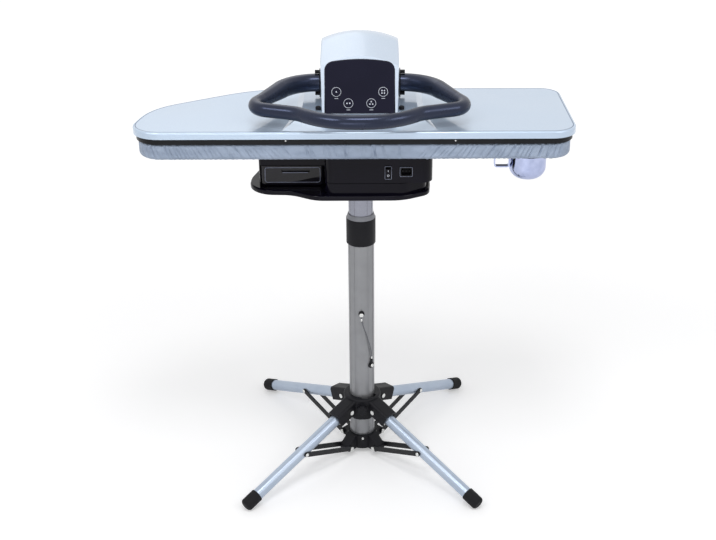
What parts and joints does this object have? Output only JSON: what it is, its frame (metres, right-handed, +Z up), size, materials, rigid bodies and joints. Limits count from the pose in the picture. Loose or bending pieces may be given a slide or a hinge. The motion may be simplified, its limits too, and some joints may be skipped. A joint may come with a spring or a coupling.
{
  "type": "steam ironing press",
  "caption": "Steam ironing press with a hinged silver head over a padded board, on a telescoping column with folding legs.",
  "frame": {"origin": "on the floor under the axis of the column", "axes": "+X along the board to its square end, +Y from the user towards the hinge, +Z up"},
  "size_m": [0.9345, 0.5607, 1.014],
  "materials": {
    "column_aluminium": "anodised, satin",
    "leg_aluminium": "anodised, satin",
    "inner_tube": "polished",
    "black_plastic": "moulded, satin",
    "gloss_black": "glossy",
    "pale_plastic": "moulded",
    "smoky_plastic": "clear, smoky",
    "foot_rubber": "moulded",
    "black_steel": "powder coated",
    "bright_steel": "plated",
    "plain_steel": "mill finish",
    "plate_silver": "metallic lacquer, glossy",
    "casing_silver": "metallic lacquer, glossy",
    "shoe_aluminium": "coated black",
    "cover_cloth": "metallised cloth",
    "pad_felt": "felt",
    "cup_metal": "polished",
    "boiler_metal": "brushed",
    "circuit_laminate": "laminate"
  },
  "bodies": {
    "stand_column": {"outer_column": "column_aluminium", "column_bush": "black_plastic", "column_collar": "black_plastic", "collar_ring": "pale_plastic", "pin_grommet": "black_plastic", "tether_clip": "black_steel", "pin_tether": "bright_steel", "foot_hub": "black_plastic", "brace_pins": "bright_steel"},
    "leg_spider": {"leg_spider": "black_plastic", "leg_pins": "bright_steel"},
    "clamp_knob": {"clamp_knob": "black_plastic"},
    "height_pin": {"height_pin": "bright_steel"},
    "press_base": {"inner_column": "inner_tube", "inner_plug": "black_plastic", "column_flange": "plain_steel", "base_tray": "gloss_black", "base_housing": "gloss_black", "mains_inlet": "black_plastic", "switch_bezel": "black_plastic", "board_pan": "plate_silver", "board_pad": "pad_felt", "board_cover": "cover_cloth", "hinge_brackets": "black_steel", "hinge_shaft": "plain_steel", "rear_cover": "black_plastic", "steam_boiler": "boiler_metal", "water_pump": "black_plastic", "circuit_board": "circuit_laminate", "cup_rails": "plain_steel"},
    "power_rocker": {"power_rocker": "gloss_black"},
    "water_tank": {"water_tank": "smoky_plastic", "tank_cap": "black_plastic"},
    "hanging_cup": {"hanging_cup": "cup_metal"},
    "press_head": {"head_cover": "plate_silver", "heating_shoe": "shoe_aluminium", "heating_element": "plain_steel", "arm_frame": "black_steel", "hinge_bushes": "black_plastic", "arm_casing": "casing_silver", "control_panel": "gloss_black", "handle": "black_plastic", "handle_brackets": "black_plastic", "arm_feet": "black_plastic"},
    "key_outer_left": {"key_outer_left": "gloss_black"},
    "key_inner_left": {"key_inner_left": "gloss_black"},
    "key_inner_right": {"key_inner_right": "gloss_black"},
    "key_outer_right": {"key_outer_right": "gloss_black"},
    "leg_front_left": {"leg_front_left": "leg_aluminium", "foot_front_left": "foot_rubber"},
    "brace_front_left": {"brace_front_left": "black_steel"},
    "leg_front_right": {"leg_front_right": "leg_aluminium", "foot_front_right": "foot_rubber"},
    "brace_front_right": {"brace_front_right": "black_steel"},
    "leg_rear_left": {"leg_rear_left": "leg_aluminium", "foot_rear_left": "foot_rubber"},
    "brace_rear_left": {"brace_rear_left": "black_steel"},
    "leg_rear_right": {"leg_rear_right": "leg_aluminium", "foot_rear_right": "foot_rubber"},
    "brace_rear_right": {"brace_rear_right": "black_steel"}
  },
  "joints": [
    {"name": "spider_slide", "type": "slide", "parent": "stand_column", "child": "leg_spider", "axis": [0, 0, 1], "range_m": [0, 0.2013]},
    {"name": "clamp_turn", "type": "hinge", "parent": "leg_spider", "child": "clamp_knob", "pos_m": [0, -0.0555, 0.133], "axis": [0, -1, 0], "range_deg": [0, 180]},
    {"name": "pin_pull", "type": "slide", "parent": "stand_column", "child": "height_pin", "axis": [0, -1, 0], "range_m": [0, 0.022], "deforming": ["pin_tether"]},
    {"name": "column_rise", "type": "slide", "parent": "stand_column", "child": "press_base", "axis": [0, 0, 1], "range_m": [0, 0.12]},
    {"name": "rocker_tip", "type": "hinge", "parent": "press_base", "child": "power_rocker", "pos_m": [0.06, -0.1045, 0.7615], "axis": [-1, 0, 0], "range_deg": [0, 20]},
    {"name": "tank_slide", "type": "slide", "parent": "press_base", "child": "water_tank", "axis": [0, -1, 0], "range_m": [0, 0.16]},
    {"name": "cup_slide", "type": "slide", "parent": "press_base", "child": "hanging_cup", "axis": [0, -1, 0], "range_m": [0, 0.11]},
    {"name": "head_hinge", "type": "hinge", "parent": "press_base", "child": "press_head", "pos_m": [0, 0.206, 0.845], "axis": [-1, 0, 0], "range_deg": [0, 45]},
    {"name": "leg_fold_front_left", "type": "hinge", "parent": "leg_spider", "child": "leg_front_left", "pos_m": [-0.03889, -0.03889, 0.125], "axis": [0.7071, -0.7071, 0], "range_deg": [0, 60.71]},
    {"name": "brace_fold_front_left", "type": "hinge", "parent": "stand_column", "child": "brace_front_left", "pos_m": [-0.03889, -0.03889, 0.021], "axis": [-0.7071, 0.7071, 0], "range_deg": [0, 60.18]},
    {"name": "leg_fold_front_right", "type": "hinge", "parent": "leg_spider", "child": "leg_front_right", "pos_m": [0.03889, -0.03889, 0.125], "axis": [0.7071, 0.7071, 0], "range_deg": [0, 60.71]},
    {"name": "brace_fold_front_right", "type": "hinge", "parent": "stand_column", "child": "brace_front_right", "pos_m": [0.03889, -0.03889, 0.021], "axis": [-0.7071, -0.7071, 0], "range_deg": [0, 60.18]},
    {"name": "leg_fold_rear_left", "type": "hinge", "parent": "leg_spider", "child": "leg_rear_left", "pos_m": [-0.03751, 0.04022, 0.125], "axis": [-0.7314, -0.682, 0], "range_deg": [0, 60.71]},
    {"name": "brace_fold_rear_left", "type": "hinge", "parent": "stand_column", "child": "brace_rear_left", "pos_m": [-0.03751, 0.04022, 0.021], "axis": [0.7314, 0.682, 0], "range_deg": [0, 60.18]},
    {"name": "leg_fold_rear_right", "type": "hinge", "parent": "leg_spider", "child": "leg_rear_right", "pos_m": [0.03751, 0.04022, 0.125], "axis": [-0.7314, 0.682, 0], "range_deg": [0, 60.71]},
    {"name": "brace_fold_rear_right", "type": "hinge", "parent": "stand_column", "child": "brace_rear_right", "pos_m": [0.03751, 0.04022, 0.021], "axis": [0.7314, -0.682, 0], "range_deg": [0, 60.18]},
    {"name": "key_outer_left_press", "type": "slide", "parent": "press_head", "child": "key_outer_left", "axis": [0, 0.8829, -0.4695], "range_m": [0, 0.001], "stiffness_N_per_m": 400},
    {"name": "key_inner_left_press", "type": "slide", "parent": "press_head", "child": "key_inner_left", "axis": [0, 0.8829, -0.4695], "range_m": [0, 0.001], "stiffness_N_per_m": 400},
    {"name": "key_inner_right_press", "type": "slide", "parent": "press_head", "child": "key_inner_right", "axis": [0, 0.8829, -0.4695], "range_m": [0, 0.001], "stiffness_N_per_m": 400},
    {"name": "key_outer_right_press", "type": "slide", "parent": "press_head", "child": "key_outer_right", "axis": [0, 0.8829, -0.4695], "range_m": [0, 0.001], "stiffness_N_per_m": 400}
  ],
  "couplings": [
    {"joint": "leg_fold_front_left", "follows": "spider_slide", "rad_per_m": 5.2617},
    {"joint": "brace_fold_front_left", "follows": "spider_slide", "rad_per_m": 5.2158},
    {"joint": "leg_fold_front_right", "follows": "spider_slide", "rad_per_m": 5.2617},
    {"joint": "brace_fold_front_right", "follows": "spider_slide", "rad_per_m": 5.2158},
    {"joint": "leg_fold_rear_left", "follows": "spider_slide", "rad_per_m": 5.2617},
    {"joint": "brace_fold_rear_left", "follows": "spider_slide", "rad_per_m": 5.2158},
    {"joint": "leg_fold_rear_right", "follows": "spider_slide", "rad_per_m": 5.2617},
    {"joint": "brace_fold_rear_right", "follows": "spider_slide", "rad_per_m": 5.2158}
  ]
}
